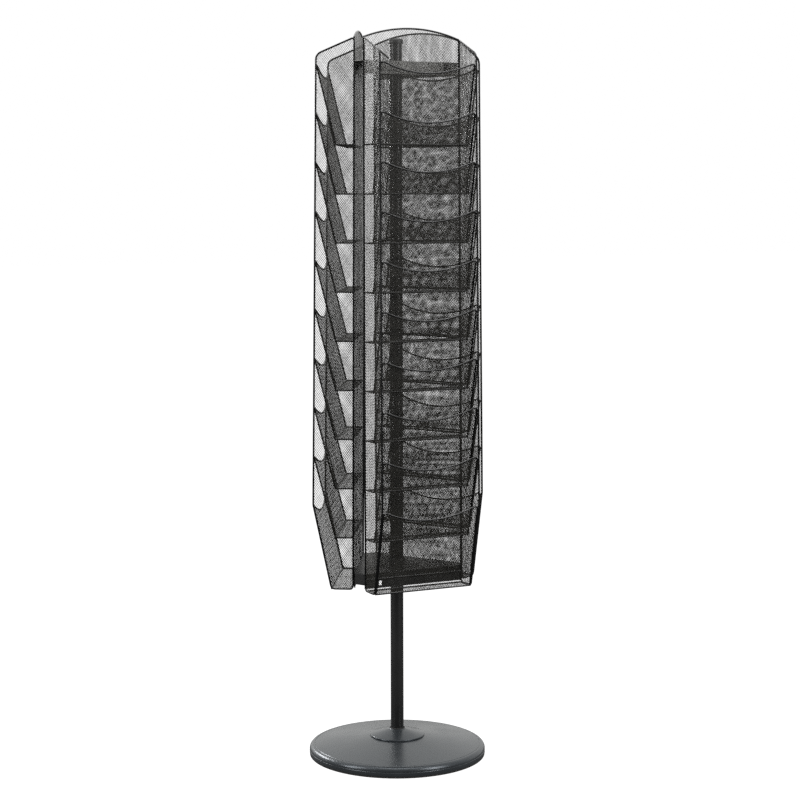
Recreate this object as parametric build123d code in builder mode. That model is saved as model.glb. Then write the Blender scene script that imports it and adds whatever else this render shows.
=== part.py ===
from build123d import *
import os
from math import atan, degrees, hypot, sqrt

# A free-standing rotary literature rack. Three wire-mesh racks of ten pockets hang in a triangle on two
# brackets, which turn on a fixed post over a weighted round base.
# Millimetres. Z is the post's axis, Z = 0 is the floor, and the front rack faces -Y.

# ---- Driving dimensions ------------------------------------------------------------------------------

# Racks
RACK_TURNS = {"front": 0, "right": 120, "left": 240}  # degrees round the post from the front rack
BACK_DISTANCE = 85  # post axis to a rack's back sheet
RACK_WIDTH = 242  # between the centres of the side frames
RACK_DEPTH = 87  # back sheet to the centre of a side frame's outer wire, at its top
DEPTH_FLARE = 4  # how much deeper a rack is at its lowest rim
RACK_BOTTOM = 403
BOTTOM_SPREAD = 5  # how far a rack's foot stands out beyond its hooks
PANEL_FOOT = 427  # the back sheet's bottom wire
BACK_CORNER_TOP = 1652  # where the side frames meet the arch over the back
OVERALL_HEIGHT = 1676
FRAME_WIRE = 3.6
SHEET = 0.8  # the band that a mesh sheet fills
FIT_GAP = 0.1  # between welded neighbours

# Side frames
SIDE_TOP_FALL = 38  # from the back corner to the outer corner
OUTER_TOP_ROUND = 20
OUTER_FOOT_ROUND = 30
LOWER_TIP_ROUND = 10
BACK_CORNER_ROUND = 4
BACK_FOOT_ROUND = 8

# Pockets
POCKETS = 10
POCKET_PITCH = 111.3
POCKET_HEIGHT = 185
POCKET_FOOT_DEPTH = 41  # how far the floor stands out from the back sheet
LOWEST_FOOT_DEPTH = 49
LOWEST_DROP = 4  # how much deeper the lowest pocket is than the others
POCKET_SCOOP = 27  # dip of the top edge in its middle
POCKET_WIRE = 3
POCKET_TOP_ROUND = 6
POCKET_FOOT_ROUND = 3

# Brackets
BRACKET_FACE = 83  # post axis to an upper flange's outer face
BOTTOM_BRACKET_FACE = 87.8
BRACKET_TIP = 148  # post axis to a cut-off corner
BRACKET_SHEET = 1.5
TOP_FLANGE = 30
BOTTOM_FLANGE = 34
TOP_BRACKET_TOP = 1600
BOTTOM_BRACKET_TOP = 440
CORNER_OPENING = 26
CORNER_NOTCH = 8  # height of the openings in the lower bracket's corners
FASTENER_OFFSET = 88  # hooks and screws, each side of a rack's middle
SPARE_OFFSET = -83  # a slot left open in each of the lower bracket's flanges
SPARE_DROP = 23
SPARE_WIDTH = 7
SPARE_HEIGHT = 10

# Post and bearings
POST_DIAMETER = 30
POST_WALL = 1.5
POST_FOOT = 48
POST_JOINT = 860
POST_TOP = 1646
JOINER_LENGTH = 140
FOOT_PLUG_LENGTH = 32
CAP_DIAMETER = 35
CAP_HEIGHT = 11
CAP_PLUG = 18
PUSH_FIT = 0.05
THREAD_GAP = 0.03
RUNNING_GAP = 0.05
BUSH_WALL = 2.9
BUSH_FLANGE_DIAMETER = 48
BUSH_FLANGE = 3
BUSH_BARREL = 16
THRUST_WASHER = 2.5
COLLAR_DIAMETER = 44
COLLAR_HEIGHT = 12
GRUB_DIRECTIONS = ((0, -1, 0), (1, 0, 0))
GRUB_RADIUS = 3
GRUB_LENGTH = 6
GRUB_SOCKET = 3  # across the flats
GRUB_SOCKET_DEPTH = 2.5

# Hooks, screws and nuts that hold the racks
HOOK_DROP = 13  # from the upper bracket's top to its hooks
SCREW_DROP = 6  # from the lower bracket's top to its screws
SLOT_WIDTH = 9
SLOT_HEIGHT = 19
HOOK_STRIP = 1.2  # thickness
HOOK_WIDTH = 6
HOOK_LEG = 9  # reach of the leg below the slot's middle
HOOK_HEAD = 7
HOOK_LIP = 7
SCREW_RADIUS = 2
SCREW_END = 1  # beyond the nut
HEAD_RADIUS = 4
HEAD_HEIGHT = 2.6
NUT_WIDTH = 7
NUT_HEIGHT = 3

# Base
BASE_RADIUS = 203
SHELL = 1.6
WALL_FOOT = 4.5
WALL_TOP = 14
CREASE_HEIGHT = 13  # a fine line round the wall
CONE_RADIUS = 190
CONE_EDGE_HEIGHT = 24.8
HUB_RADIUS = 63
HUB_EDGE_HEIGHT = 42
HUB_RIM = 3.4  # height of the hub cover's edge
HUB_TOP = 59
SHELL_BORE = 7
POST_SEAT_RADIUS = 20  # the flat that the post stands on
RING_WIDTH = 14
RING_LIP_WIDTH = 6
RING_LIP_TOP = 9
BALLAST_RADIUS = 184
BALLAST_FOOT = 4
BALLAST_TOP = 16
BOSS_RADIUS = 26
RECESS_RADIUS = 22
RECESS_TOP = 20
BOLT_RADIUS = 6
BOLT_WASHER_RADIUS = 20
BOLT_WASHER = 2.5
BOLT_HEAD = 7.5
BOLT_FLATS = 19
BOLT_END = 74

# ---- Worked-out values -------------------------------------------------------------------------------

REAR_TURNS = (RACK_TURNS["right"], RACK_TURNS["left"])
POST_RADIUS = POST_DIAMETER / 2
POST_BORE = POST_RADIUS - POST_WALL
FRAME_RADIUS = FRAME_WIRE / 2
POCKET_WIRE_RADIUS = POCKET_WIRE / 2
POCKET_HALF = RACK_WIDTH / 2 - FRAME_RADIUS - POCKET_WIRE_RADIUS - FIT_GAP
BACK_HALF = RACK_WIDTH / 2 - FRAME_RADIUS - FIT_GAP
POCKET_BACK_DEPTH = FRAME_RADIUS + POCKET_WIRE_RADIUS + 2 * FIT_GAP
LOWEST_RIM = RACK_BOTTOM + LOWEST_DROP + POCKET_HEIGHT
OUTER_TOP = BACK_CORNER_TOP - SIDE_TOP_FALL
ARCH_TOP = OVERALL_HEIGHT - FRAME_RADIUS
HOOK_HEIGHT = TOP_BRACKET_TOP - HOOK_DROP
SCREW_HEIGHT = BOTTOM_BRACKET_TOP - SCREW_DROP
LEAN_SLOPE = BOTTOM_SPREAD / (HOOK_HEIGHT - RACK_BOTTOM)
LEAN_AXIS = Axis((0, -BACK_DISTANCE, HOOK_HEIGHT), (1, 0, 0))  # a rack's foot swings out about its hooks
LEAN = -degrees(atan(LEAN_SLOPE))
BUSH_RADIUS = POST_RADIUS + RUNNING_GAP + BUSH_WALL
CONE_SLOPE = (HUB_EDGE_HEIGHT - CONE_EDGE_HEIGHT) / (CONE_RADIUS - HUB_RADIUS)


def out(depth):
    """The Y of a point that stands out from the front rack's back sheet."""
    return -(BACK_DISTANCE + depth)


def outer_depth(height):
    """Depth of a side frame's outer wire at a height."""
    return RACK_DEPTH + DEPTH_FLARE * (OUTER_TOP - height) / (OUTER_TOP - LOWEST_RIM)


def cone_height(radius):
    """The base's top surface at a radius."""
    return CONE_EDGE_HEIGHT + CONE_SLOPE * (CONE_RADIUS - radius)


os.makedirs("parts", exist_ok=True)

# ---- Base --------------------------------------------------------------------------------------------

# Pressed dish: a shallow cone, a groove, a round shoulder and a low wall.
with BuildPart() as base_shell:
    with BuildSketch(Plane.XZ) as dish:
        with BuildLine():
            seat_height = cone_height(POST_SEAT_RADIUS)
            groove_foot = (CONE_RADIUS + 1, CONE_EDGE_HEIGHT - 1)
            shoulder_top = (CONE_RADIUS + 2, CONE_EDGE_HEIGHT - 0.3)
            Polyline(
                (SHELL_BORE, seat_height),
                (POST_SEAT_RADIUS, seat_height),
                (CONE_RADIUS, CONE_EDGE_HEIGHT),
                groove_foot,
                shoulder_top,
            )
            EllipticalCenterArc(
                (shoulder_top[0], WALL_TOP),
                BASE_RADIUS - shoulder_top[0],
                shoulder_top[1] - WALL_TOP,
                start_angle=0,
                arc_size=90,
            )
            Polyline(
                (BASE_RADIUS, WALL_TOP),
                (BASE_RADIUS - 0.8, CREASE_HEIGHT),
                (BASE_RADIUS, CREASE_HEIGHT - 1),
                (BASE_RADIUS, WALL_FOOT),
                (BASE_RADIUS - SHELL, WALL_FOOT),
                (BASE_RADIUS - SHELL - 0.6, CREASE_HEIGHT),
                (groove_foot[0], groove_foot[1] - SHELL),
                (POST_SEAT_RADIUS, seat_height - SHELL),
                (SHELL_BORE, seat_height - SHELL),
                (SHELL_BORE, seat_height),
            )
        make_face()
    revolve(axis=Axis.Z)
base_shell.part.label = "base_shell"
export_step(base_shell.part, "parts/base_shell.step")

# Soft ring that the dish stands on. A lip inside the wall holds it.
with BuildPart() as floor_ring:
    with BuildSketch(Plane.XZ):
        with BuildLine():
            ring_outer = BASE_RADIUS - 0.6
            lip_outer = BASE_RADIUS - SHELL - 0.7
            tread_top = BALLAST_FOOT - 0.2
            Polyline(
                (BASE_RADIUS - RING_WIDTH, 0),
                (ring_outer - 1, 0),
                (ring_outer, 1),
                (ring_outer, WALL_FOOT - FIT_GAP),
                (lip_outer, WALL_FOOT - FIT_GAP),
                (lip_outer, RING_LIP_TOP),
                (BASE_RADIUS - RING_LIP_WIDTH, RING_LIP_TOP),
                (BASE_RADIUS - RING_LIP_WIDTH, tread_top),
                (BASE_RADIUS - RING_WIDTH, tread_top),
                close=True,
            )
        make_face()
    revolve(axis=Axis.Z)
floor_ring.part.label = "floor_ring"
export_step(floor_ring.part, "parts/floor_ring.step")

# Cast ballast with a boss under the post and a recess below for the bolt's head.
boss_top = cone_height(BOSS_RADIUS) - SHELL - 0.3
bolt_hole = BOLT_RADIUS + 0.6
with BuildPart() as base_weight:
    with BuildSketch(Plane.XZ):
        with BuildLine():
            Polyline(
                (bolt_hole, RECESS_TOP),
                (RECESS_RADIUS, RECESS_TOP),
                (RECESS_RADIUS, BALLAST_FOOT),
                (BALLAST_RADIUS, BALLAST_FOOT),
                (BALLAST_RADIUS, BALLAST_TOP - 2),
                (BALLAST_RADIUS - 2, BALLAST_TOP),
                (HUB_RADIUS, BALLAST_TOP + 3),
                (BOSS_RADIUS + 6, BALLAST_TOP + 8),
                (BOSS_RADIUS, boss_top),
                (bolt_hole, boss_top),
                close=True,
            )
        make_face()
    revolve(axis=Axis.Z)
base_weight.part.label = "base_weight"
export_step(base_weight.part, "parts/base_weight.step")

# Dress cover over the post's foot.
hub_rim_top = HUB_EDGE_HEIGHT + HUB_RIM
hub_bore = POST_RADIUS + 0.2
with BuildPart() as hub_cover:
    with BuildSketch(Plane.XZ):
        with BuildLine():
            Polyline(
                (HUB_RADIUS, HUB_EDGE_HEIGHT + 0.3),
                (HUB_RADIUS, hub_rim_top - 1.5),
                (HUB_RADIUS - 1.5, hub_rim_top),
                (POST_RADIUS + 5, HUB_TOP - 2.5),
                (POST_RADIUS + 1.5, HUB_TOP),
                (hub_bore, HUB_TOP),
                (hub_bore, HUB_TOP - 4),
                (POST_RADIUS + 5, HUB_TOP - 4.2),
                (HUB_RADIUS - 2.5, hub_rim_top - 1.8),
                (HUB_RADIUS - 1.4, HUB_EDGE_HEIGHT + 0.45),
                close=True,
            )
        make_face()
    revolve(axis=Axis.Z)
hub_cover.part.label = "hub_cover"
export_step(hub_cover.part, "parts/hub_cover.step")

# Bolt from below into the post's foot, with its washer.
head_top = RECESS_TOP - BOLT_WASHER
with BuildPart() as base_washer:
    with BuildSketch(Plane.XY.offset(head_top)):
        Circle(BOLT_WASHER_RADIUS)
        Circle(BOLT_RADIUS + 0.4, mode=Mode.SUBTRACT)
    extrude(amount=BOLT_WASHER)
    chamfer(base_washer.edges().filter_by(GeomType.CIRCLE).group_by(SortBy.RADIUS)[-1], 0.4)
base_washer.part.label = "base_washer"
export_step(base_washer.part, "parts/base_washer.step")

with BuildPart() as base_bolt:
    with BuildSketch(Plane.XY.offset(head_top)):
        RegularPolygon(BOLT_FLATS / 2, 6, major_radius=False)
    extrude(amount=-BOLT_HEAD)
    chamfer(base_bolt.faces().sort_by(Axis.Z)[0].edges(), 0.8)
    with BuildSketch(Plane.XY.offset(head_top)):
        Circle(BOLT_RADIUS)
    extrude(amount=BOLT_END - head_top)
    chamfer(base_bolt.faces().sort_by(Axis.Z)[-1].edges(), 1)
base_bolt.part.label = "base_bolt"
export_step(base_bolt.part, "parts/base_bolt.step")

# ---- Post --------------------------------------------------------------------------------------------


def tube(bottom, top):
    """A length of the post's tube, with its cut ends eased."""
    with BuildPart() as length:
        with BuildSketch(Plane.XY.offset(bottom)):
            Circle(POST_RADIUS)
            Circle(POST_BORE, mode=Mode.SUBTRACT)
        extrude(amount=top - bottom)
        chamfer(length.edges().filter_by(GeomType.CIRCLE).group_by(SortBy.RADIUS)[-1], 0.3)
    return length


lower_post = tube(POST_FOOT, POST_JOINT)
lower_post.part.label = "lower_post"
export_step(lower_post.part, "parts/lower_post.step")

upper_post = tube(POST_JOINT, POST_TOP)
upper_post.part.label = "upper_post"
export_step(upper_post.part, "parts/upper_post.step")

# Sleeve inside the joint.
with BuildPart() as post_joiner:
    with BuildSketch(Plane.XY.offset(POST_JOINT - JOINER_LENGTH / 2)):
        Circle(POST_BORE - PUSH_FIT)
        Circle(POST_BORE - 2, mode=Mode.SUBTRACT)
    extrude(amount=JOINER_LENGTH)
post_joiner.part.label = "post_joiner"
export_step(post_joiner.part, "parts/post_joiner.step")

# Threaded plug in the lower post's foot.
with BuildPart() as post_foot_plug:
    with BuildSketch(Plane.XY.offset(POST_FOOT)):
        Circle(POST_BORE - PUSH_FIT)
        Circle(BOLT_RADIUS + THREAD_GAP, mode=Mode.SUBTRACT)
    extrude(amount=FOOT_PLUG_LENGTH)
post_foot_plug.part.label = "post_foot_plug"
export_step(post_foot_plug.part, "parts/post_foot_plug.step")

# Push-in cap with a rounded head.
with BuildPart() as post_cap:
    with BuildSketch(Plane.XY.offset(POST_TOP + FIT_GAP)):
        Circle(CAP_DIAMETER / 2)
    extrude(amount=CAP_HEIGHT)
    fillet(post_cap.edges().group_by(Axis.Z)[-1], 4.5)
    fillet(post_cap.edges().group_by(Axis.Z)[0], 1)
    with BuildSketch(Plane.XY.offset(POST_TOP + FIT_GAP)):
        Circle(POST_BORE - PUSH_FIT)
    extrude(amount=-CAP_PLUG)
post_cap.part.label = "post_cap"
export_step(post_cap.part, "parts/post_cap.step")

# ---- Brackets ----------------------------------------------------------------------------------------


def bracket(top, face, flange, corner_opening, openings):
    """A triangular plate with flanges turned down. Its cut-off corners are open to a height.

    openings lists (offset from a flange's middle, drop from the top, width, height).
    """
    point = 2 * face
    with BuildPart() as plate:
        with BuildSketch(Plane.XY.offset(top)) as outline:
            RegularPolygon(point, 3, rotation=90)
            chamfer(outline.vertices(), (point - BRACKET_TIP) * 2 / sqrt(3))
        extrude(amount=-flange)
        fillet(plate.faces().sort_by(Axis.Z)[-1].edges(), 1.2)
        with BuildSketch(Plane.XY.offset(top - BRACKET_SHEET)):
            add(outline.sketch.moved(Location((0, 0, -top))))
            offset(amount=-BRACKET_SHEET, kind=Kind.INTERSECTION, mode=Mode.REPLACE)
        extrude(amount=-flange, mode=Mode.SUBTRACT)
        with PolarLocations(BRACKET_TIP, 3, start_angle=90):
            with Locations((0, 0, top - flange + corner_opening / 2)):
                Box(10 * BRACKET_SHEET, CORNER_OPENING, corner_opening, mode=Mode.SUBTRACT)
        for across, drop, width, height in openings:
            with PolarLocations(face, 3, start_angle=-90):
                with Locations((0, across, top - drop)):
                    Box(4 * BRACKET_SHEET, width, height, mode=Mode.SUBTRACT)
        with Locations((0, 0, top)):
            Cylinder(BUSH_RADIUS + PUSH_FIT, 4 * BRACKET_SHEET, mode=Mode.SUBTRACT)
    return plate


hook_slots = [(side * FASTENER_OFFSET, HOOK_DROP, SLOT_WIDTH, SLOT_HEIGHT) for side in (-1, 1)]
top_bracket = bracket(
    TOP_BRACKET_TOP, BRACKET_FACE, TOP_FLANGE, TOP_FLANGE - BRACKET_SHEET, hook_slots
)
top_bracket.part.label = "top_bracket"
export_step(top_bracket.part, "parts/top_bracket.step")

screw_hole = 2 * SCREW_RADIUS + 0.6
screw_holes = [(side * FASTENER_OFFSET, SCREW_DROP, screw_hole, screw_hole) for side in (-1, 1)]
spare_slot = (SPARE_OFFSET, SPARE_DROP, SPARE_WIDTH, SPARE_HEIGHT)
bottom_bracket = bracket(
    BOTTOM_BRACKET_TOP,
    BOTTOM_BRACKET_FACE,
    BOTTOM_FLANGE,
    CORNER_NOTCH,
    [*screw_holes, spare_slot],
)
bottom_bracket.part.label = "bottom_bracket"
export_step(bottom_bracket.part, "parts/bottom_bracket.step")


def bush(plate_side, flange_end, barrel_end):
    """A flanged plain bearing. Its flange lies against plate_side and its barrel goes through the plate."""
    with BuildPart() as bearing:
        with BuildSketch(Plane.XY.offset(plate_side)):
            Circle(BUSH_FLANGE_DIAMETER / 2)
        extrude(amount=flange_end - plate_side)
        with BuildSketch(Plane.XY.offset(plate_side)):
            Circle(BUSH_RADIUS)
        extrude(amount=barrel_end - plate_side)
        with BuildSketch(Plane.XY.offset(min(flange_end, barrel_end))):
            Circle(POST_RADIUS + RUNNING_GAP)
        extrude(amount=abs(barrel_end - flange_end), mode=Mode.SUBTRACT)
    return bearing


top_bush = bush(TOP_BRACKET_TOP, TOP_BRACKET_TOP + BUSH_FLANGE, TOP_BRACKET_TOP - BUSH_BARREL)
top_bush.part.label = "top_bush"
export_step(top_bush.part, "parts/top_bush.step")

bottom_plate_under = BOTTOM_BRACKET_TOP - BRACKET_SHEET
bottom_bush = bush(
    bottom_plate_under, bottom_plate_under - BUSH_FLANGE, bottom_plate_under + BUSH_BARREL
)
bottom_bush.part.label = "bottom_bush"
export_step(bottom_bush.part, "parts/bottom_bush.step")

# The carousel's weight goes through the bottom bush and a washer to a collar screwed to the post.
washer_top = bottom_plate_under - BUSH_FLANGE - RUNNING_GAP
collar_top = washer_top - THRUST_WASHER
with BuildPart() as thrust_washer:
    with BuildSketch(Plane.XY.offset(collar_top)):
        Circle(BUSH_FLANGE_DIAMETER / 2 - 1)
        Circle(POST_RADIUS + 0.2, mode=Mode.SUBTRACT)
    extrude(amount=THRUST_WASHER)
thrust_washer.part.label = "thrust_washer"
export_step(thrust_washer.part, "parts/thrust_washer.step")

grub_height = collar_top - COLLAR_HEIGHT / 2
grub_seat = POST_RADIUS + PUSH_FIT
with BuildPart() as support_collar:
    with BuildSketch(Plane.XY.offset(collar_top - COLLAR_HEIGHT)):
        Circle(COLLAR_DIAMETER / 2)
        Circle(POST_RADIUS, mode=Mode.SUBTRACT)
    extrude(amount=COLLAR_HEIGHT)
    chamfer(support_collar.edges().filter_by(GeomType.CIRCLE).group_by(SortBy.RADIUS)[-1], 0.8)
    for direction in GRUB_DIRECTIONS:
        with BuildSketch(Plane(origin=(0, 0, grub_height), z_dir=direction)):
            Circle(GRUB_RADIUS + THREAD_GAP)
        extrude(amount=COLLAR_DIAMETER, mode=Mode.SUBTRACT)
support_collar.part.label = "support_collar"
export_step(support_collar.part, "parts/support_collar.step")

with BuildPart() as collar_screws:
    for direction in GRUB_DIRECTIONS:
        middle = Plane(origin=(0, 0, grub_height), z_dir=direction)
        with BuildSketch(middle.offset(grub_seat)):
            Circle(GRUB_RADIUS)
        extrude(amount=GRUB_LENGTH)
        with BuildSketch(middle.offset(grub_seat + GRUB_LENGTH)):
            RegularPolygon(GRUB_SOCKET / 2, 6, major_radius=False)
        extrude(amount=-GRUB_SOCKET_DEPTH, mode=Mode.SUBTRACT)
collar_screws.part.label = "collar_screws"
export_step(collar_screws.part, "parts/collar_screws.step")

# ---- What holds the racks ----------------------------------------------------------------------------

# A hook is a strip that leaves the back sheet, passes through a slot and turns down behind the flange.
leg = out(-(SHEET / 2 + FIT_GAP))
lip = -(BRACKET_FACE - BRACKET_SHEET) + HOOK_STRIP
with BuildPart() as rack_hooks:
    with BuildSketch(Plane.YZ.offset(FASTENER_OFFSET - HOOK_WIDTH / 2)):
        with BuildLine():
            Polyline(
                (leg, HOOK_HEIGHT - HOOK_LEG),
                (leg, HOOK_HEIGHT + HOOK_HEAD),
                (lip + HOOK_STRIP, HOOK_HEIGHT + HOOK_HEAD),
                (lip + HOOK_STRIP, HOOK_HEIGHT - HOOK_LIP),
                (lip, HOOK_HEIGHT - HOOK_LIP),
                (lip, HOOK_HEIGHT + HOOK_HEAD - HOOK_STRIP),
                (leg + HOOK_STRIP, HOOK_HEIGHT + HOOK_HEAD - HOOK_STRIP),
                (leg + HOOK_STRIP, HOOK_HEIGHT - HOOK_LEG),
                close=True,
            )
        make_face()
    hook = extrude(amount=HOOK_WIDTH)
    mirror(hook, about=Plane.YZ)
    pair = rack_hooks.part
    for turn in REAR_TURNS:
        with Locations(Location((0, 0, 0), (0, 0, turn))):
            add(pair)
rack_hooks.part.label = "rack_hooks"
export_step(rack_hooks.part, "parts/rack_hooks.step")

# Pan-head screws and square nuts through the back sheet and the bottom bracket's flange.
head_seat = out(SHEET / 2 + FIT_GAP + (HOOK_HEIGHT - SCREW_HEIGHT) * LEAN_SLOPE)
nut_seat = -(BOTTOM_BRACKET_FACE - BRACKET_SHEET) + FIT_GAP
with BuildPart() as rack_screws:
    with BuildSketch(Plane.XZ.offset(-head_seat)):
        with Locations((FASTENER_OFFSET, SCREW_HEIGHT), (-FASTENER_OFFSET, SCREW_HEIGHT)):
            Circle(HEAD_RADIUS)
    extrude(amount=HEAD_HEIGHT)
    fillet(rack_screws.faces().sort_by(Axis.Y)[:2].edges(), 1.2)
    with BuildSketch(Plane.XZ.offset(-head_seat)):
        with Locations((FASTENER_OFFSET, SCREW_HEIGHT), (-FASTENER_OFFSET, SCREW_HEIGHT)):
            Circle(SCREW_RADIUS)
    extrude(amount=-(nut_seat - head_seat + NUT_HEIGHT + SCREW_END))
    pair = rack_screws.part
    for turn in REAR_TURNS:
        with Locations(Location((0, 0, 0), (0, 0, turn))):
            add(pair)
rack_screws.part.label = "rack_screws"
export_step(rack_screws.part, "parts/rack_screws.step")

with BuildPart() as rack_nuts:
    with BuildSketch(Plane.XZ.offset(-nut_seat)):
        with Locations((FASTENER_OFFSET, SCREW_HEIGHT), (-FASTENER_OFFSET, SCREW_HEIGHT)):
            Rectangle(NUT_WIDTH, NUT_WIDTH)
            Circle(SCREW_RADIUS + THREAD_GAP, mode=Mode.SUBTRACT)
    extrude(amount=-NUT_HEIGHT)
    pair = rack_nuts.part
    for turn in REAR_TURNS:
        with Locations(Location((0, 0, 0), (0, 0, turn))):
            add(pair)
rack_nuts.part.label = "rack_nuts"
export_step(rack_nuts.part, "parts/rack_nuts.step")

# ---- One rack, built as the front one ----------------------------------------------------------------


def round_corner(sketch, corner, radius):
    """Rounds the sketch's vertex nearest to a point."""
    fillet(sketch.vertices().sort_by_distance(corner)[0], radius)


def side_frame(x):
    """A closed wire loop at x, filled with a mesh sheet."""
    back_foot = (out(0), RACK_BOTTOM)
    back_top = (out(0), BACK_CORNER_TOP)
    outer_top = (out(RACK_DEPTH), OUTER_TOP)
    outer_foot = (out(outer_depth(LOWEST_RIM)), LOWEST_RIM)
    lower_tip = (out(LOWEST_FOOT_DEPTH), RACK_BOTTOM)
    with BuildPart() as side:
        with BuildSketch(Plane.YZ.offset(x)) as outline:
            with BuildLine():
                Polyline(back_foot, back_top, outer_top, outer_foot, lower_tip, close=True)
            make_face()
            round_corner(outline, back_foot, BACK_FOOT_ROUND)
            round_corner(outline, back_top, BACK_CORNER_ROUND)
            round_corner(outline, outer_top, OUTER_TOP_ROUND)
            round_corner(outline, outer_foot, OUTER_FOOT_ROUND)
            round_corner(outline, lower_tip, LOWER_TIP_ROUND)
        extrude(amount=SHEET / 2, both=True)
        loop = outline.sketch.face().outer_wire()
        with BuildSketch(Plane(origin=loop @ 0, z_dir=loop % 0)):
            Circle(FRAME_RADIUS)
        sweep(path=loop)
    return side.part


def back_panel():
    """The back sheet, with its arched top wire and its straight bottom wire, pierced for the screws."""
    arch_end = BACK_CORNER_TOP + 0.5
    with BuildPart() as back:
        with BuildSketch(Plane.XZ.offset(BACK_DISTANCE)):
            with BuildLine():
                Polyline(
                    (-BACK_HALF, arch_end),
                    (-BACK_HALF, PANEL_FOOT),
                    (BACK_HALF, PANEL_FOOT),
                    (BACK_HALF, arch_end),
                )
                ThreePointArc((BACK_HALF, arch_end), (0, ARCH_TOP), (-BACK_HALF, arch_end))
            make_face()
            with Locations((FASTENER_OFFSET, SCREW_HEIGHT), (-FASTENER_OFFSET, SCREW_HEIGHT)):
                Circle(SCREW_RADIUS + 0.3, mode=Mode.SUBTRACT)
        extrude(amount=SHEET / 2, both=True)
        with BuildLine() as arch:
            ThreePointArc(
                (-BACK_HALF, out(0), arch_end), (0, out(0), ARCH_TOP), (BACK_HALF, out(0), arch_end)
            )
        with BuildSketch(Plane(origin=arch.line @ 0, z_dir=arch.line % 0)):
            Circle(FRAME_RADIUS)
        sweep(path=arch.line)
        with BuildSketch(Plane.YZ.offset(-BACK_HALF)):
            with Locations((out(0), PANEL_FOOT)):
                Circle(FRAME_RADIUS)
        extrude(amount=2 * BACK_HALF)
    return back.part


def pocket(level):
    """A leaning front with a scooped wire rim, and a floor with a wire round its sides and back."""
    rim_height = LOWEST_RIM + level * POCKET_PITCH
    floor_height = rim_height - POCKET_HEIGHT if level else RACK_BOTTOM
    foot_depth = POCKET_FOOT_DEPTH if level else LOWEST_FOOT_DEPTH
    rise = rim_height - floor_height
    overhang = outer_depth(rim_height) - foot_depth
    slant = hypot(overhang, rise)
    foot = (0, out(foot_depth), floor_height)
    with BuildPart() as shaped:
        with BuildSketch(Plane(origin=foot, x_dir=(1, 0, 0), z_dir=(0, -rise, -overhang))) as front:
            with BuildLine():
                Polyline(
                    (-POCKET_HALF, slant),
                    (-POCKET_HALF, 0),
                    (POCKET_HALF, 0),
                    (POCKET_HALF, slant),
                )
                ThreePointArc((POCKET_HALF, slant), (0, slant - POCKET_SCOOP), (-POCKET_HALF, slant))
            make_face()
            fillet(front.vertices().group_by(Axis.Y)[-1], POCKET_TOP_ROUND)
            fillet(front.vertices().group_by(Axis.Y)[0], POCKET_FOOT_ROUND)
        extrude(amount=SHEET / 2, both=True)
        rim = front.sketch.face().outer_wire()
        with BuildSketch(Plane(origin=rim @ 0, z_dir=rim % 0)):
            Circle(POCKET_WIRE_RADIUS)
        sweep(path=rim)
        floor_back = out(POCKET_BACK_DEPTH)
        floor_front = out(foot_depth)
        with BuildSketch(Plane.XY.offset(floor_height)):
            with Locations((0, (floor_back + floor_front) / 2)):
                Rectangle(2 * POCKET_HALF, floor_back - floor_front)
        extrude(amount=SHEET / 2, both=True)
        with BuildLine() as floor_wire:
            FilletPolyline(
                (-POCKET_HALF, floor_front, floor_height),
                (-POCKET_HALF, floor_back, floor_height),
                (POCKET_HALF, floor_back, floor_height),
                (POCKET_HALF, floor_front, floor_height),
                radius=POCKET_FOOT_ROUND,
            )
        with BuildSketch(Plane(origin=floor_wire.line @ 0, z_dir=floor_wire.line % 0)):
            Circle(POCKET_WIRE_RADIUS)
        sweep(path=floor_wire.line)
    return shaped.part


rack_pieces = {
    "back_panel": back_panel(),
    "left_side": side_frame(-RACK_WIDTH / 2),
    "right_side": side_frame(RACK_WIDTH / 2),
}
for level in range(POCKETS):
    rack_pieces[f"pocket_{level + 1:02d}"] = pocket(level)

# ---- The three racks ---------------------------------------------------------------------------------

for rack, turn in RACK_TURNS.items():
    for piece, shape in rack_pieces.items():
        with BuildPart() as placed:
            with Locations(Location((0, 0, 0), (0, 0, turn))):
                add(shape.rotate(LEAN_AXIS, LEAN))
        placed.part.label = f"{rack}_rack_{piece}"
        export_step(placed.part, f"parts/{rack}_rack_{piece}.step")
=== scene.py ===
from math import atan, cos, hypot, pi, radians, sin, sqrt, tan

import bmesh
import bpy
from mathutils import Matrix, Vector


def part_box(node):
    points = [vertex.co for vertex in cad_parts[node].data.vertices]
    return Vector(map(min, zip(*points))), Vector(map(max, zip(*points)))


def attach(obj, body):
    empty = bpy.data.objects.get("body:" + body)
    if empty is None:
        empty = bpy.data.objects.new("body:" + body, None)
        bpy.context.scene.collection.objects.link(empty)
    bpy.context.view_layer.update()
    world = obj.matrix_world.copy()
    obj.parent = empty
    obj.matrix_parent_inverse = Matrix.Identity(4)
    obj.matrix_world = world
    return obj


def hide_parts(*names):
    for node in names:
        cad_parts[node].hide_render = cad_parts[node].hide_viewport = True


# The looks of a rotary literature rack. Metres, in the CAD frame: Z is the post's axis and the front
# rack faces -Y. Every mesh sheet and every wire is rebuilt here round its CAD node. Each piece of a
# rack is shaped as on the front rack and then turned round the post.

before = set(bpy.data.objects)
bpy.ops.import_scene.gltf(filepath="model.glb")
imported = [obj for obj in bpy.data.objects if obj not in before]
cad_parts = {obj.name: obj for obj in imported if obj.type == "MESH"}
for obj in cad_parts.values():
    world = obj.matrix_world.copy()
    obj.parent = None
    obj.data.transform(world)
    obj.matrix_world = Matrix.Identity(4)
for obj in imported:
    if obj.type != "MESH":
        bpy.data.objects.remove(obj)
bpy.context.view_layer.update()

# ---- Places from the CAD -----------------------------------------------------------------------------

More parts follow.
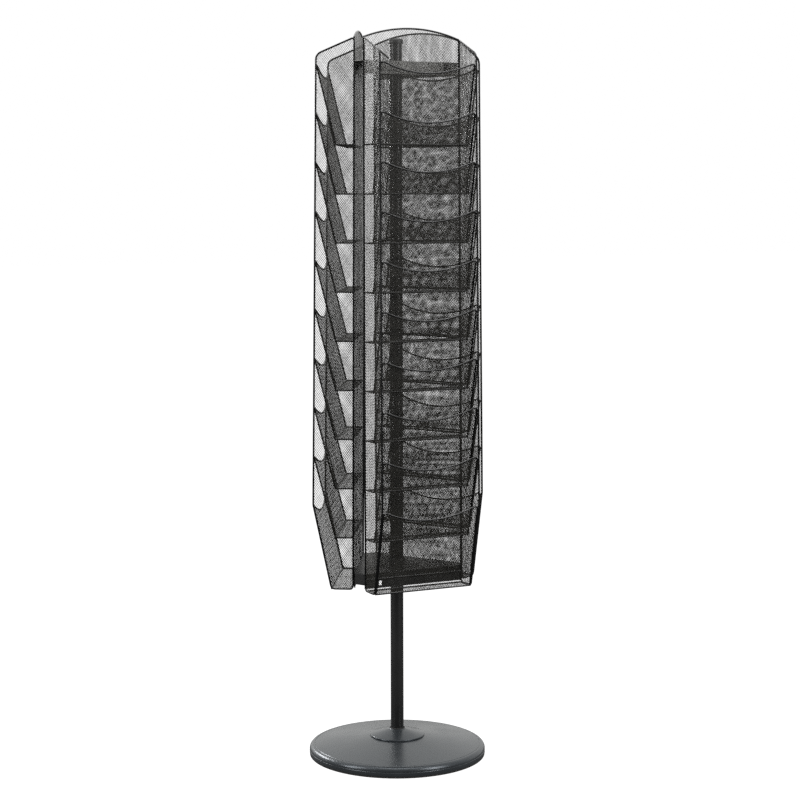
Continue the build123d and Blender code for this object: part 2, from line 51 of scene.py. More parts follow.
RACK_TURNS = {"front": 0, "right": 120, "left": 240}
FRAME_WIRE = 0.0018  # radius of the side frames' and the arch's wire
POCKET_WIRE = 0.0015  # radius of the pockets' wire
COAT = 0.0004  # what the coating adds to a wire's radius

HOOK_GAP = 0.0005  # from the back sheet's middle to the hooks
HOOK_HEAD = 0.007  # how far the hooks reach above the line that a rack leans about

hooks_low, hooks_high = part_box("rack_hooks")
side_low, side_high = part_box("front_rack_right_side")
panel_low, panel_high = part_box("front_rack_back_panel")
second_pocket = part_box("front_rack_pocket_02")
highest_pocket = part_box("front_rack_pocket_10")
half_width = (side_low.x + side_high.x) / 2
panel_half = panel_high.x
back_y = hooks_low.y - HOOK_GAP
hook_height = hooks_high.z - HOOK_HEAD
rack_bottom = side_low.z + FRAME_WIRE
panel_foot = panel_low.z + FRAME_WIRE
arch_top = panel_high.z - FRAME_WIRE

# ---- Shape of the racks ------------------------------------------------------------------------------

RACK_DEPTH = 0.087
DEPTH_FLARE = 0.004  # how much deeper a rack is at its lowest rim
BOTTOM_SPREAD = 0.005  # how far a rack's foot stands out beyond its hooks
ARCH_RISE = 0.0222
SIDE_TOP_FALL = 0.038
OUTER_TOP_ROUND = 0.020
OUTER_FOOT_ROUND = 0.030
LOWER_TIP_ROUND = 0.010
BACK_CORNER_ROUND = 0.004
BACK_FOOT_ROUND = 0.008
POCKETS = 10
POCKET_HEIGHT = 0.185
POCKET_FOOT_DEPTH = 0.041
LOWEST_FOOT_DEPTH = 0.049
POCKET_SCOOP = 0.027
POCKET_TOP_ROUND = 0.006
POCKET_FOOT_ROUND = 0.003
POCKET_BACK_DEPTH = 0.0035
back_corner_top = arch_top - ARCH_RISE
outer_top = back_corner_top - SIDE_TOP_FALL
pocket_half = highest_pocket[1].x - POCKET_WIRE
pocket_pitch = (highest_pocket[0].z - second_pocket[0].z) / (POCKETS - 2)
second_floor = second_pocket[0].z + POCKET_WIRE
lowest_rim = second_floor - pocket_pitch + POCKET_HEIGHT

hook_line = Vector((0, back_y, hook_height))
lean = atan(BOTTOM_SPREAD / (hook_height - rack_bottom))
RACK_LEAN = Matrix.Translation(hook_line) @ Matrix.Rotation(-lean, 4, "X") @ Matrix.Translation(-hook_line)

# ---- Mesh tools --------------------------------------------------------------------------------------


def rounded(points, radii, closed=True, steps=7):
    """A path of straight runs whose corners are arcs. A radius of 0 keeps a corner sharp."""
    path = []
    for i, corner in enumerate(points):
        corner = Vector(corner)
        if not radii[i] or (not closed and i in (0, len(points) - 1)):
            path.append(corner)
            continue
        to_last = (Vector(points[i - 1]) - corner).normalized()
        to_next = (Vector(points[(i + 1) % len(points)]) - corner).normalized()
        half = to_last.angle(to_next) / 2
        centre = corner + (to_last + to_next).normalized() * (radii[i] / sin(half))
        reach = radii[i] / tan(half)
        start = (corner + to_last * reach - centre).normalized()
        end = (corner + to_next * reach - centre).normalized()
        path += [centre + start.slerp(end, step / steps) * radii[i] for step in range(steps + 1)]
    return path


def bowed(start, end, rise, steps=24):
    """Points of an arc between two 2D points at one height, without its ends. rise is its middle's."""
    half = (end[0] - start[0]) / 2
    radius = (half * half + rise * rise) / (2 * abs(rise))
    direction = 1 if rise > 0 else -1
    points = []
    for step in range(1, steps):
        across = half * (2 * step / steps - 1)
        drop = sqrt(radius * radius - across * across) - (radius - abs(rise))
        points.append((start[0] + half + across, start[1] + direction * drop))
    return points


def add_wire(bm, path, radius, closed, sides=10):
    """A round wire along a path, with closed ends where the path is open."""
    count = len(path)
    rings = []
    normal = None
    for i, point in enumerate(path):
        last = path[i - 1] if closed or i else path[0]
        after = path[(i + 1) % count] if closed or i < count - 1 else path[-1]
        along = (after - last).normalized()
        if normal is None:
            normal = along.orthogonal().normalized()
        normal = (normal - along * normal.dot(along)).normalized()
        across = along.cross(normal)
        rings.append(
            [
                bm.verts.new(point + (normal * cos(2 * pi * s / sides) + across * sin(2 * pi * s / sides)) * radius)
                for s in range(sides)
            ]
        )
    for i in range(count if closed else count - 1):
        ring, after = rings[i], rings[(i + 1) % count]
        shift = 0
        if closed and i == count - 1:
            shift = min(range(sides), key=lambda k: (after[k].co - ring[0].co).length)
        for s in range(sides):
            bm.faces.new(
                (ring[s], ring[(s + 1) % sides], after[(s + 1 + shift) % sides], after[(s + shift) % sides])
            )
    if not closed:
        bm.faces.new(rings[0])
        bm.faces.new(list(reversed(rings[-1])))


def add_lathe(bm, profile, steps=192):
    """A closed profile of (radius, height) points turned round the Z axis."""
    rings = []
    for step in range(steps):
        turn = 2 * pi * step / steps
        rings.append([bm.verts.new((r * cos(turn), r * sin(turn), z)) for r, z in profile])
    for i, ring in enumerate(rings):
        after = rings[(i + 1) % steps]
        for k in range(len(profile)):
            last = k - 1
            bm.faces.new((ring[last], after[last], after[k], ring[k]))


def eased(points, radii, steps=5):
    """A closed profile whose corners are arcs."""
    return [(p.x, p.y) for p in rounded([(*p, 0) for p in points], radii, steps=steps)]


def add_bead(bm, centre, size):
    """A small weld: a flattened ball."""
    made = bmesh.ops.create_uvsphere(bm, u_segments=8, v_segments=6, radius=1)
    for vert in made["verts"]:
        vert.co = Vector(centre) + Vector(a * b for a, b in zip(vert.co, size))


def as_piece(name, bm, material, smooth=True, sharp_angle=40):
    """The bmesh as an object."""
    bmesh.ops.recalc_face_normals(bm, faces=bm.faces)
    data = bpy.data.meshes.new(name)
    bm.to_mesh(data)
    bm.free()
    if smooth:
        data.shade_smooth()
        data.set_sharp_from_angle(angle=radians(sharp_angle))
    piece = bpy.data.objects.new(name, data)
    bpy.context.scene.collection.objects.link(piece)
    data.materials.append(material)
    return piece


def column_span(outline, across):
    """Lowest and highest point of a closed 2D outline on one upright line."""
    heights = []
    for i, end in enumerate(outline):
        start = outline[i - 1]
        if min(start[0], end[0]) <= across <= max(start[0], end[0]) and start[0] != end[0]:
            share = (across - start[0]) / (end[0] - start[0])
            heights.append(start[1] + share * (end[1] - start[1]))
    return min(heights), max(heights)


def ripple(across, up, seed, length):
    """A smooth wave between about -1 and 1, different for each seed."""
    turn = 2 * pi / length
    return (
        sin(turn * across + 1.7 * seed) * cos(0.83 * turn * up + 2.3 * seed)
        + sin(0.61 * turn * (across + up) + 0.9 * seed)
        + cos(0.47 * turn * (across - 1.3 * up) + 3.1 * seed)
    ) / 3


SHEET_WAVE = 0.0003  # how far a sheet stands out of flat
PATTERN_DRIFT = 0.0001  # how far its openings wander from straight rows


def add_sheet(bm, outline, place, seed, columns, rows, rounding):
    """A thin sheet that fills a 2D outline. place turns (across, up, out) into a point.

    Each vertex keeps where it lies in the sheet's own plane, for the pattern of openings.
    """
    weave = bm.verts.layers.float_vector.get("weave") or bm.verts.layers.float_vector.new("weave")
    left = min(p[0] for p in outline)
    right = max(p[0] for p in outline)
    inset = 1e-5
    edges = [rounding * (1 - cos(pi / 2 * k / 5)) for k in range(5)]
    middle = [rounding + (right - left - 2 * rounding) * k / columns for k in range(columns + 1)]
    offsets = edges + middle + [right - left - e for e in reversed(edges)]
    last = len(offsets) - 1
    grid = []
    for i, offset in enumerate(offsets):
        across = min(max(left + offset, left + inset), right - inset)
        low, high = column_span(outline, across)
        column = []
        for j in range(rows + 1):
            up = low + (high - low) * j / rows
            fade = min(1, 4 * min(j, rows - j) / rows, 4 * min(i, last - i) / last)
            vert = bm.verts.new(place(across, up, SHEET_WAVE * fade * ripple(across, up, seed, 0.17)))
            vert[weave] = (
                across + PATTERN_DRIFT * ripple(across, up, seed + 4, 0.21),
                up + PATTERN_DRIFT * ripple(up, across, seed + 7, 0.19),
                seed,
            )
            column.append(vert)
        grid.append(column)
    for i in range(last):
        for j in range(rows):
            bm.faces.new((grid[i][j], grid[i + 1][j], grid[i + 1][j + 1], grid[i][j + 1]))


# ---- Materials ---------------------------------------------------------------------------------------


def new_node(tree, kind, inputs=None, **settings):
    """A shader node with its settings and inputs. An input may be a value or another node's output."""
    node = tree.nodes.new(kind)
    for key, value in settings.items():
        setattr(node, key, value)
    for key, value in (inputs or {}).items():
        if isinstance(value, bpy.types.NodeSocket):
            tree.links.new(value, node.inputs[key])
        else:
            node.inputs[key].default_value = value
    return node


def maths(tree, operation, first, second=0.0, clamp=False):
    """The output of a math node."""
    node = new_node(tree, "ShaderNodeMath", {0: first, 1: second}, operation=operation, use_clamp=clamp)
    return node.outputs[0]


def new_material(name):
    """A material with an empty tree and its output node."""
    material = bpy.data.materials.new(name)
    material.use_nodes = True
    tree = material.node_tree
    tree.nodes.clear()
    return material, tree, tree.nodes.new("ShaderNodeOutputMaterial")


def noise(tree, scale, detail=2.0, roughness=0.5, stretch=None):
    """A noise value over the object's own coordinates. stretch scales them first."""
    place = new_node(tree, "ShaderNodeTexCoord").outputs["Object"]
    if stretch:
        place = new_node(tree, "ShaderNodeVectorMath", {0: place, 1: stretch}, operation="MULTIPLY").outputs[0]
    made = new_node(
        tree, "ShaderNodeTexNoise", {"Vector": place, "Scale": scale, "Detail": detail, "Roughness": roughness}
    )
    return made.outputs["Fac"]


def spread(tree, value, low, high):
    """value from about 0.3 to 0.7 mapped to low to high."""
    node = new_node(
        tree,
        "ShaderNodeMapRange",
        {"Value": value, "From Min": 0.3, "From Max": 0.7, "To Min": low, "To Max": high},
    )
    return node.outputs["Result"]


def mixed(tree, share, first, second):
    """A colour between two colours."""
    node = new_node(tree, "ShaderNodeMix", data_type="RGBA")
    for socket, value in ((0, share), (6, first), (7, second)):
        if isinstance(value, bpy.types.NodeSocket):
            tree.links.new(value, node.inputs[socket])
        else:
            node.inputs[socket].default_value = value
    return node.outputs[2]


def grey(value, tint=(1, 1, 1)):
    """A colour near grey."""
    return (value * tint[0], value * tint[1], value * tint[2], 1)


def coated(name, dark, light, rough, peel, specular=0.5, sheen=(1, 1, 1, 1), fleck=None, painted_top_highlight=None):
    """A sprayed or moulded finish: cloudy colour, uneven gloss and a fine orange-peel surface.

    painted_top_highlight is a painted highlight: the light colour that faces turned upward are drawn towards, as if
    lit from above.
    """
    material, tree, output = new_material(name)
    cloud = noise(tree, 14, 4.0)
    fine = noise(tree, 1100, 2.0)
    colour = mixed(tree, spread(tree, cloud, 0, 1), dark, light)
    if fleck:
        spots = new_node(
            tree, "ShaderNodeMapRange", {"Value": noise(tree, 3800, 0.0), "From Min": 0.62, "From Max": 0.75}
        )
        colour = mixed(tree, spots.outputs["Result"], colour, fleck)
    # Painted highlight: faces that point up are drawn lighter, towards a light grey, as if lit from above; noise
    # breaks it up.
    if painted_top_highlight:
        normal = new_node(tree, "ShaderNodeNewGeometry").outputs["Normal"]
        upward = new_node(
            tree,
            "ShaderNodeMapRange",
            {"Value": new_node(tree, "ShaderNodeSeparateXYZ", {0: normal}).outputs["Z"], "From Min": 0.3, "From Max": 0.85},
        )
        highlight_share = maths(tree, "MULTIPLY", upward.outputs["Result"], spread(tree, noise(tree, 60, 3.0), 0.6, 1.0))
        colour = mixed(tree, highlight_share, colour, painted_top_highlight)
    gloss = maths(tree, "ADD", spread(tree, cloud, rough - 0.04, rough + 0.04), spread(tree, fine, -0.03, 0.03))
    bump = new_node(
        tree, "ShaderNodeBump", {"Height": fine, "Strength": 0.35, "Distance": peel}
    )
    shader = new_node(
        tree,
        "ShaderNodeBsdfPrincipled",
        {
            "Base Color": colour,
            "Roughness": gloss,
            "Specular IOR Level": specular,
            "Specular Tint": sheen,
            "Normal": bump.outputs["Normal"],
        },
    )
    tree.links.new(shader.outputs[0], output.inputs["Surface"])
    return material


def plated(name):
    """Zinc-plated steel with fine machining marks."""
    material, tree, output = new_material(name)
    marks = noise(tree, 500, 3.0, stretch=(1, 1, 9))
    cloud = noise(tree, 45, 3.0)
    colour = mixed(tree, spread(tree, cloud, 0, 1), (0.42, 0.42, 0.43, 1), (0.62, 0.61, 0.58, 1))
    bump = new_node(tree, "ShaderNodeBump", {"Height": marks, "Strength": 0.3, "Distance": 0.0001})
    shader = new_node(
        tree,
        "ShaderNodeBsdfPrincipled",
        {
            "Base Color": colour,
            "Metallic": 1.0,
            "Roughness": spread(tree, marks, 0.28, 0.42),
            "Normal": bump.outputs["Normal"],
        },
    )
    tree.links.new(shader.outputs[0], output.inputs["Surface"])
    return material


OPENING_LENGTH = 0.0043  # across the sheet
OPENING_HEIGHT = 0.0064
STRAND_SHARE = 0.195  # strand width over the distance between strands, seen square on
STRAND_DEPTH = 0.048  # how fast the strands close up as the sheet is seen at a slant


def woven(name):
    """Black-coated expanded steel: two families of slanting strands with open diamonds between them."""
    material, tree, output = new_material(name)
    place = new_node(tree, "ShaderNodeAttribute", attribute_name="weave").outputs["Vector"]
    axes = new_node(tree, "ShaderNodeSeparateXYZ", {0: place})
    across = maths(tree, "DIVIDE", axes.outputs["X"], OPENING_LENGTH)
    up = maths(tree, "DIVIDE", axes.outputs["Y"], OPENING_HEIGHT)
    surface = new_node(tree, "ShaderNodeNewGeometry")
    facing = new_node(
        tree,
        "ShaderNodeVectorMath",
        {0: surface.outputs["Incoming"], 1: surface.outputs["Normal"]},
        operation="DOT_PRODUCT",
    ).outputs["Value"]
    square = maths(tree, "MULTIPLY", facing, facing)
    slant = maths(tree, "SQRT", maths(tree, "SUBTRACT", maths(tree, "DIVIDE", 1.0, square), 1.0))
    share = maths(tree, "ADD", maths(tree, "MULTIPLY", slant, STRAND_DEPTH), STRAND_SHARE)
    strands = []
    for sign in ("ADD", "SUBTRACT"):
        line = maths(tree, sign, across, up)
        number = maths(tree, "ADD", maths(tree, "ROUND", line), maths(tree, "MULTIPLY", axes.outputs["Z"], 31.0))
        uneven = new_node(tree, "ShaderNodeTexWhiteNoise", {"W": number}, noise_dimensions="1D").outputs["Value"]
        width = maths(tree, "MULTIPLY", share, maths(tree, "ADD", maths(tree, "MULTIPLY", uneven, 0.3), 0.35))
        strands.append(maths(tree, "LESS_THAN", maths(tree, "PINGPONG", line, 0.5), width))
    solid = maths(tree, "MAXIMUM", *strands)
    cloud = noise(tree, 30, 3.0)
    colour = mixed(tree, spread(tree, cloud, 0, 1), grey(0.014, (1.1, 1.05, 0.9)), grey(0.030, (1.1, 1.05, 0.9)))
    shader = new_node(
        tree,
        "ShaderNodeBsdfPrincipled",
        {"Base Color": colour, "Roughness": spread(tree, cloud, 0.42, 0.52), "Specular IOR Level": 0.2},
    )
    clear = new_node(tree, "ShaderNodeBsdfTransparent")
    both = new_node(tree, "ShaderNodeMixShader", {0: solid, 1: clear.outputs[0], 2: shader.outputs[0]})
    tree.links.new(both.outputs[0], output.inputs["Surface"])
    return material


# The wires' upper faces carry a painted highlight of light grey, as if lit from above.
wire_coat = coated("wire_coat", grey(0.003), grey(0.006), 0.30, 0.00004, specular=0.12, painted_top_highlight=grey(0.22))
black_coat = coated("black_coat", grey(0.007), grey(0.011), 0.40, 0.00005, specular=0.3)
post_coat = coated("post_coat", grey(0.007), grey(0.011), 0.34, 0.00005, specular=0.5)
# The top bracket's coat is the black coat drawn lighter: painted light for the light that falls on it from above.
bracket_painted_light_coat = coated("bracket_painted_light_coat", grey(0.15, (1.03, 1.02, 0.95)), grey(0.19, (1.03, 1.02, 0.95)), 0.38, 0.00005)
graphite = coated(
    "graphite_coat", grey(0.023, (0.86, 1.0, 1.12)), grey(0.029, (0.86, 1.0, 1.12)), 0.30, 0.00001,
    sheen=grey(1.0, (0.92, 1.0, 1.08)), fleck=grey(0.036),
)
mesh_coat = woven("mesh_coat")
floor_rubber = coated("floor_rubber", grey(0.010), grey(0.018), 0.75, 0.0001)
cast_iron = coated("cast_iron", grey(0.05), grey(0.09, (1.05, 1.0, 0.95)), 0.72, 0.0004)
cap_plastic = coated("cap_plastic", grey(0.020), grey(0.028), 0.45, 0.00003)
bearing_plastic = coated("bearing_plastic", grey(0.030), grey(0.042), 0.5, 0.00003)
zinc = plated("zinc")

# ---- Racks -------------------------------------------------------------------------------------------


def add_to_rack(bm, node, ending, turn, material, smooth=True):
    """A piece of a rack, leaned and turned into the place of its CAD node."""
    bm.transform(Matrix.Rotation(radians(turn), 4, "Z") @ RACK_LEAN)
    piece = as_piece(node + ending, bm, material, smooth)
    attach(piece, "carousel")
    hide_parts(node)


def outer_depth(height):
    """Depth of a side frame's outer wire at a height."""
    return RACK_DEPTH + DEPTH_FLARE * (outer_top - height) / (outer_top - lowest_rim)


def side_outline():
    """The side frame's loop, as (depth out from the back sheet, height)."""
    points = [
        (0, rack_bottom),
        (0, back_corner_top),
        (RACK_DEPTH, outer_top),
        (outer_depth(lowest_rim), lowest_rim),
        (LOWEST_FOOT_DEPTH, rack_bottom),
    ]
    radii = [BACK_FOOT_ROUND, BACK_CORNER_ROUND, OUTER_TOP_ROUND, OUTER_FOOT_ROUND, LOWER_TIP_ROUND]
    return [(p.x, p.y) for p in rounded([(*p, 0) for p in points], radii)]


def make_side(rack, turn, side, seed):
    node = f"{rack}_rack_{side}_side"
    x = half_width if side == "right" else -half_width
    outline = side_outline()
    bm = bmesh.new()
    add_wire(bm, [Vector((x, back_y - d, z)) for d, z in outline], FRAME_WIRE + COAT, True, sides=12)
    add_to_rack(bm, node, "_wire", turn, wire_coat)
    bm = bmesh.new()
    add_sheet(bm, outline, lambda d, z, out: Vector((x + out, back_y - d, z)), seed, 8, 70, 0.012)
    add_to_rack(bm, node, "_mesh", turn, mesh_coat, smooth=False)


def make_back(rack, turn, seed):
    node = f"{rack}_rack_back_panel"
    corner = back_corner_top + 0.0005
    arch = [(-panel_half, corner)] + bowed((-panel_half, corner), (panel_half, corner), arch_top - corner)
    arch.append((panel_half, corner))
    bm = bmesh.new()
    add_wire(bm, [Vector((x, back_y, z)) for x, z in arch], FRAME_WIRE + COAT, False, sides=12)
    foot = [Vector((x, back_y, panel_foot)) for x in (-panel_half, 0, panel_half)]
    add_wire(bm, foot, FRAME_WIRE + COAT, False, sides=12)
    for x in (-panel_half, panel_half):
        add_bead(bm, (x, back_y, corner), (0.0026, 0.0023, 0.0026))
        add_bead(bm, (x, back_y, panel_foot), (0.0024, 0.0022, 0.0022))
    add_to_rack(bm, node, "_wire", turn, wire_coat)
    outline = arch + [(panel_half, panel_foot), (-panel_half, panel_foot)]
    bm = bmesh.new()
    add_sheet(bm, outline, lambda x, z, out: Vector((x, back_y + out, z)), seed, 18, 80, 0.006)
    add_to_rack(bm, node, "_mesh", turn, mesh_coat, smooth=False)


def make_pocket(rack, turn, level, seed):
    node = f"{rack}_rack_pocket_{level:02d}"
    lowest = level == 1
    rim_z = lowest_rim + (level - 1) * pocket_pitch
    floor_z = rack_bottom if lowest else rim_z - POCKET_HEIGHT
    half = pocket_half
    floor_back = back_y - POCKET_BACK_DEPTH
    floor_front = back_y - (LOWEST_FOOT_DEPTH if lowest else POCKET_FOOT_DEPTH)
    overhang = floor_front - (back_y - outer_depth(rim_z))
    rise = rim_z - floor_z
    slant = hypot(overhang, rise)
    upward = Vector((0, -overhang, rise)) / slant
    outward = Vector((0, -rise, -overhang)) / slant

    def on_front(across, up, out=0.0):
        return Vector((across, floor_front, floor_z)) + upward * up + outward * out

    scoop = bowed((-half, slant), (half, slant), -POCKET_SCOOP)
    corners = [(-half, 0), (-half, slant), *scoop, (half, slant), (half, 0)]
    radii = [POCKET_FOOT_ROUND, POCKET_TOP_ROUND, *[0] * len(scoop), POCKET_TOP_ROUND, POCKET_FOOT_ROUND]
    front = [(p.x, p.y) for p in rounded([(*p, 0) for p in corners], radii)]
    floor_loop = rounded(
        [
            (-half, floor_front, floor_z),
            (-half, floor_back, floor_z),
            (half, floor_back, floor_z),
            (half, floor_front, floor_z),
        ],
        [0, POCKET_FOOT_ROUND, POCKET_FOOT_ROUND, 0],
        closed=False,
    )
    bm = bmesh.new()
    add_wire(bm, [on_front(*p) for p in front], POCKET_WIRE + COAT, True)
    add_wire(bm, floor_loop, POCKET_WIRE + COAT, False)
    for sign in (-1, 1):
        add_bead(bm, (sign * (half + 0.0012), floor_back, floor_z), (0.0018, 0.0020, 0.0019))
        add_bead(bm, (sign * (half + 0.0012), floor_front, floor_z), (0.0016, 0.0021, 0.0021))
        top = on_front(sign * (half + 0.0012), slant - 0.008)
        add_bead(bm, top, (0.0018, 0.0019, 0.0026))
    add_to_rack(bm, node, "_wire", turn, wire_coat)
    bm = bmesh.new()
    add_sheet(bm, front, on_front, seed, 18, 12, 0.006)
    floor_outline = [(-half, floor_front), (half, floor_front), (half, floor_back), (-half, floor_back)]
    add_sheet(bm, floor_outline, lambda x, y, out: Vector((x, y, floor_z + out)), seed + 0.5, 18, 3, 0.003)
    add_to_rack(bm, node, "_mesh", turn, mesh_coat, smooth=False)


for rack_index, (rack, turn) in enumerate(RACK_TURNS.items()):
    first_seed = 20 * rack_index
    make_back(rack, turn, first_seed + 11)
    make_side(rack, turn, "left", first_seed + 12)
    make_side(rack, turn, "right", first_seed + 13)
    for level in range(1, POCKETS + 1):
        make_pocket(rack, turn, level, first_seed + level)

# ---- Stand -------------------------------------------------------------------------------------------


def make_turned(name, node, profile, material, sharp_angle=30):
    """A turned or pressed piece of the stand in the place of its CAD node."""
    bm = bmesh.new()
    add_lathe(bm, profile)
    piece = as_piece(name, bm, material, sharp_angle=sharp_angle)
    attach(piece, "stand")
    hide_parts(node)


shell_low, shell_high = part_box("base_shell")
base_radius = shell_high.x
seat_height = shell_high.z
SHELL = 0.0016
SHELL_BORE = 0.007
POST_SEAT_RADIUS = 0.020
CONE_RADIUS = 0.190
CONE_EDGE_HEIGHT = 0.0248
GROOVE_DEPTH = 0.0010
SHOULDER_RADIUS = 0.192
SHOULDER_HEIGHT = 0.0245
WALL_TOP = 0.014
SHOULDER_STEPS = 24

shoulder = [
    (
        SHOULDER_RADIUS + (base_radius - SHOULDER_RADIUS) * sin(pi / 2 * k / SHOULDER_STEPS),
        WALL_TOP + (SHOULDER_HEIGHT - WALL_TOP) * cos(pi / 2 * k / SHOULDER_STEPS),
    )
    for k in range(1, SHOULDER_STEPS + 1)
]
dish = [
    (SHELL_BORE, seat_height),
    (POST_SEAT_RADIUS, seat_height),
    (CONE_RADIUS, CONE_EDGE_HEIGHT),
    (CONE_RADIUS + 0.001, CONE_EDGE_HEIGHT - GROOVE_DEPTH),
    (SHOULDER_RADIUS, SHOULDER_HEIGHT),
    *shoulder,
    (base_radius - 0.0008, WALL_TOP - 0.001),
    (base_radius, WALL_TOP - 0.002),
    (base_radius, shell_low.z),
    (base_radius - SHELL, shell_low.z),
    (base_radius - SHELL - 0.0006, WALL_TOP - 0.001),
    (CONE_RADIUS + 0.001, CONE_EDGE_HEIGHT - GROOVE_DEPTH - SHELL),
    (POST_SEAT_RADIUS, seat_height - SHELL),
    (SHELL_BORE, seat_height - SHELL),
]
dish_radii = [0, 0.004, 0.0006, 0.0003, 0.0003, *[0] * SHOULDER_STEPS, 0.0003, 0, 0.0004, 0.0003, 0.002, 0.0005]
dish_radii += [0.003, 0]
make_turned("base_dish", "base_shell", eased(dish, dish_radii), graphite)

hub_low, hub_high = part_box("hub_cover")
post_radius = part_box("lower_post")[1].x
HUB_RIM = 0.0031
hub_rim_top = hub_low.z + HUB_RIM
hub_bore = post_radius + 0.0002
hub = [
    (hub_high.x, hub_low.z),
    (hub_high.x, hub_rim_top),
    (post_radius + 0.005, hub_high.z - 0.0025),
    (post_radius + 0.0015, hub_high.z),
    (hub_bore, hub_high.z),
    (hub_bore, hub_high.z - 0.004),
    (post_radius + 0.005, hub_high.z - 0.0042),
    (hub_high.x - 0.0025, hub_rim_top - 0.0018),
    (hub_high.x - 0.0014, hub_low.z),
]
hub_radii = [0.0003, 0.0018, 0.006, 0.0006, 0.0003, 0, 0, 0.0008, 0]
make_turned("hub_dome", "hub_cover", eased(hub, hub_radii), graphite)

# A black ring lies in the hub's mouth, round the post's foot; its black is partly painted shade for the dark gap
# there.
LIP_WIDTH = 0.0024
lip = [
    (post_radius, hub_high.z - 0.001),
    (post_radius + LIP_WIDTH, hub_high.z - 0.001),
    (post_radius + LIP_WIDTH, hub_high.z + 0.0012),
    (post_radius, hub_high.z + 0.0018),
]
make_turned("hub_lip", "hub_cover", eased(lip, [0, 0, 0.0008, 0.0004]), floor_rubber)

for node in ("lower_post", "upper_post"):
    low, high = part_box(node)
    bore = high.x - 0.0015
    tube = [(high.x, low.z), (high.x, high.z), (bore, high.z), (bore, low.z)]
    make_turned(node + "_tube", node, eased(tube, [0.0003, 0.0003, 0, 0]), post_coat)

low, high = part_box("post_cap")
upper_post_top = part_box("upper_post")[1].z
plug = post_radius - 0.0016
cap = [
    (high.x, upper_post_top + 0.0001),
    (high.x, high.z),
    (0.00005, high.z),
    (0.00005, low.z),
    (plug, low.z),
    (plug, upper_post_top + 0.0001),
]
make_turned("post_cap_dome", "post_cap", eased(cap, [0.001, 0.0045, 0, 0, 0.001, 0], 8), cap_plastic)

# ---- Finishes of the CAD nodes that stay -------------------------------------------------------------

FINISHES = {
    "floor_ring": floor_rubber,
    "base_weight": cast_iron,
    "base_bolt": zinc,
    "base_washer": zinc,
    "post_foot_plug": zinc,
    "post_joiner": zinc,
    "support_collar": zinc,
    "collar_screws": zinc,
    "rack_screws": black_coat,
    "rack_nuts": zinc,
    # The top bracket gets the lighter coat, which is painted light for its lit top.
    "top_bracket": bracket_painted_light_coat,
    "bottom_bracket": black_coat,
    "rack_hooks": black_coat,
    "top_bush": bearing_plastic,
    "bottom_bush": bearing_plastic,
    "thrust_washer": bearing_plastic,
}
for node, finish in FINISHES.items():
    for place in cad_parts[node].material_slots:
        place.material = finish

# ---- Studio ------------------------------------------------------------------------------------------

CAMERA_AZIMUTH = -25.5
CAMERA_DISTANCE = 4.515
CAMERA_HEIGHT = 1.299
CAMERA_LENS = 87.5
CAMERA_SHIFT = (0.0051, -0.2586)
CAMERA_ROLL = 0.14


def make_camera():
    """A level camera whose lens is shifted down, as an upright product shot is taken.

    The shift is for this place only: anywhere else the view stays centred.
    """
    data = bpy.data.cameras.new("camera")
    camera = bpy.data.objects.new("camera", data)
    bpy.context.scene.collection.objects.link(camera)
    azimuth = radians(CAMERA_AZIMUTH)
    camera.location = (CAMERA_DISTANCE * sin(azimuth), -CAMERA_DISTANCE * cos(azimuth), CAMERA_HEIGHT)
    camera.rotation_euler = (pi / 2, radians(CAMERA_ROLL), azimuth)
    data.lens = CAMERA_LENS
    for path, shift in zip(("shift_x", "shift_y"), CAMERA_SHIFT):
        driver = data.driver_add(path).driver
        driver.type = "SCRIPTED"
        place = driver.variables.new()
        place.name = "x"
        place.targets[0].id = camera
        place.targets[0].data_path = "location[0]"
        driver.expression = f"{shift} if abs(x - {camera.location.x:.6f}) < 0.001 else 0.0"
    bpy.context.scene.camera = camera


def make_floor():
    """A plain white floor. The camera sees it bright, and it throws little light back."""
    bm = bmesh.new()
    bmesh.ops.create_grid(bm, x_segments=1, y_segments=1, size=30)
    material, tree, output = new_material("floor")
    seen = new_node(tree, "ShaderNodeLightPath").outputs["Is Camera Ray"]
    grain = noise(tree, 3, 3.0)
    lit = new_node(
        tree, "ShaderNodeBsdfDiffuse", {"Color": mixed(tree, grain, grey(0.16), grey(0.18))}
    )
    bright = new_node(tree, "ShaderNodeEmission", {"Color": grey(1.0), "Strength": 1.0})
    shown = new_node(tree, "ShaderNodeAddShader", {0: lit.outputs[0], 1: bright.outputs[0]})
    both = new_node(tree, "ShaderNodeMixShader", {0: seen, 1: lit.outputs[0], 2: shown.outputs[0]})
    tree.links.new(both.outputs[0], output.inputs["Surface"])
    floor = as_piece("floor", bm, material, smooth=False)
    floor.location.z = -0.0005


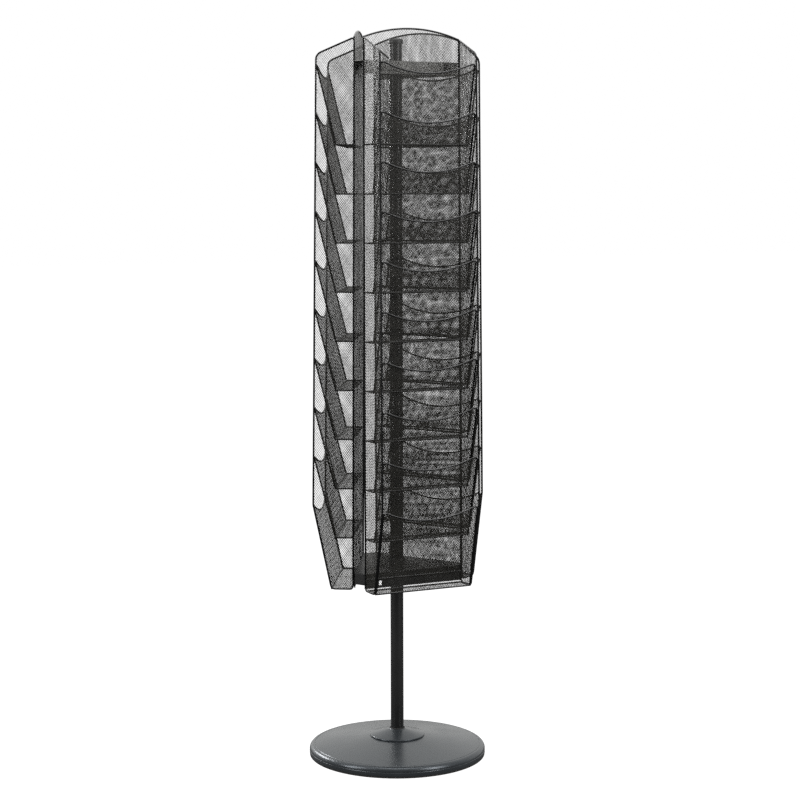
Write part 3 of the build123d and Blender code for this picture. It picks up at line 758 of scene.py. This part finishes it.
def make_world():
    """A white backdrop behind the object, dark at the camera's side, with a bright ceiling.

    The camera sees plain white. Mirrored light sees the backdrop at full strength and diffuse light
    gets less of it.
    """
    world = bpy.data.worlds.new("studio")
    bpy.context.scene.world = world
    world.use_nodes = True
    tree = world.node_tree
    tree.nodes.clear()
    output = tree.nodes.new("ShaderNodeOutputWorld")
    direction = new_node(tree, "ShaderNodeTexCoord").outputs["Generated"]
    azimuth = radians(CAMERA_AZIMUTH)
    forward = new_node(
        tree,
        "ShaderNodeVectorMath",
        {0: direction, 1: (-sin(azimuth), cos(azimuth), 0)},
        operation="DOT_PRODUCT",
    ).outputs["Value"]
    backdrop = new_node(
        tree,
        "ShaderNodeMapRange",
        {"Value": forward, "From Min": -0.35, "From Max": 0.55, "To Min": 0.10, "To Max": 1.0},
        interpolation_type="SMOOTHSTEP",
    ).outputs["Result"]
    height = new_node(tree, "ShaderNodeSeparateXYZ", {0: direction}).outputs["Z"]
    ceiling = new_node(
        tree,
        "ShaderNodeMapRange",
        {"Value": height, "From Min": 0.35, "From Max": 0.95, "To Min": 0.0, "To Max": 0.8},
        interpolation_type="SMOOTHSTEP",
    ).outputs["Result"]
    level = maths(tree, "MAXIMUM", backdrop, ceiling)
    path = new_node(tree, "ShaderNodeLightPath").outputs
    strength = maths(tree, "MULTIPLY", level, maths(tree, "ADD", 0.55, maths(tree, "MULTIPLY", path["Is Glossy Ray"], 0.57)))
    dome = new_node(tree, "ShaderNodeBackground", {"Color": grey(1.0, (1.0, 1.0, 0.98)), "Strength": strength})
    white = new_node(tree, "ShaderNodeBackground", {"Color": grey(1.0), "Strength": 1.0})
    both = new_node(tree, "ShaderNodeMixShader", {0: path["Is Camera Ray"], 1: dome.outputs[0], 2: white.outputs[0]})
    tree.links.new(both.outputs[0], output.inputs["Surface"])


def make_softbox(name, azimuth, distance, height, width, tall, power):
    """A large rectangular lamp that faces the racks. Azimuth 0 stands in front of the front rack."""
    lamp = bpy.data.lights.new(name, "AREA")
    lamp.shape = "RECTANGLE"
    lamp.size = width
    lamp.size_y = tall
    lamp.energy = power
    place = bpy.data.objects.new(name, lamp)
    bpy.context.scene.collection.objects.link(place)
    place.visible_camera = False
    turn = radians(azimuth)
    place.location = (distance * sin(turn), -distance * cos(turn), height)
    aim = Vector((0, 0, 0.8)) - place.location
    place.rotation_euler = aim.to_track_quat("-Z", "Y").to_euler()


make_camera()
make_floor()
make_world()
make_softbox("softbox_left", CAMERA_AZIMUTH - 62, 2.6, 1.6, 0.9, 2.2, 55)
make_softbox("softbox_right", CAMERA_AZIMUTH + 51, 2.6, 1.6, 0.9, 2.2, 60)
make_softbox("softbox_top", CAMERA_AZIMUTH, 0.6, 3.6, 2.0, 2.0, 40)
make_softbox("softbox_rim", CAMERA_AZIMUTH - 132, 3.0, 1.8, 1.5, 0.5, 60)

scene = bpy.context.scene
scene.view_settings.view_transform = "Standard"
scene.cycles.transparent_max_bounces = 128
scene.cycles.max_bounces = 8
scene.cycles.use_denoising = False
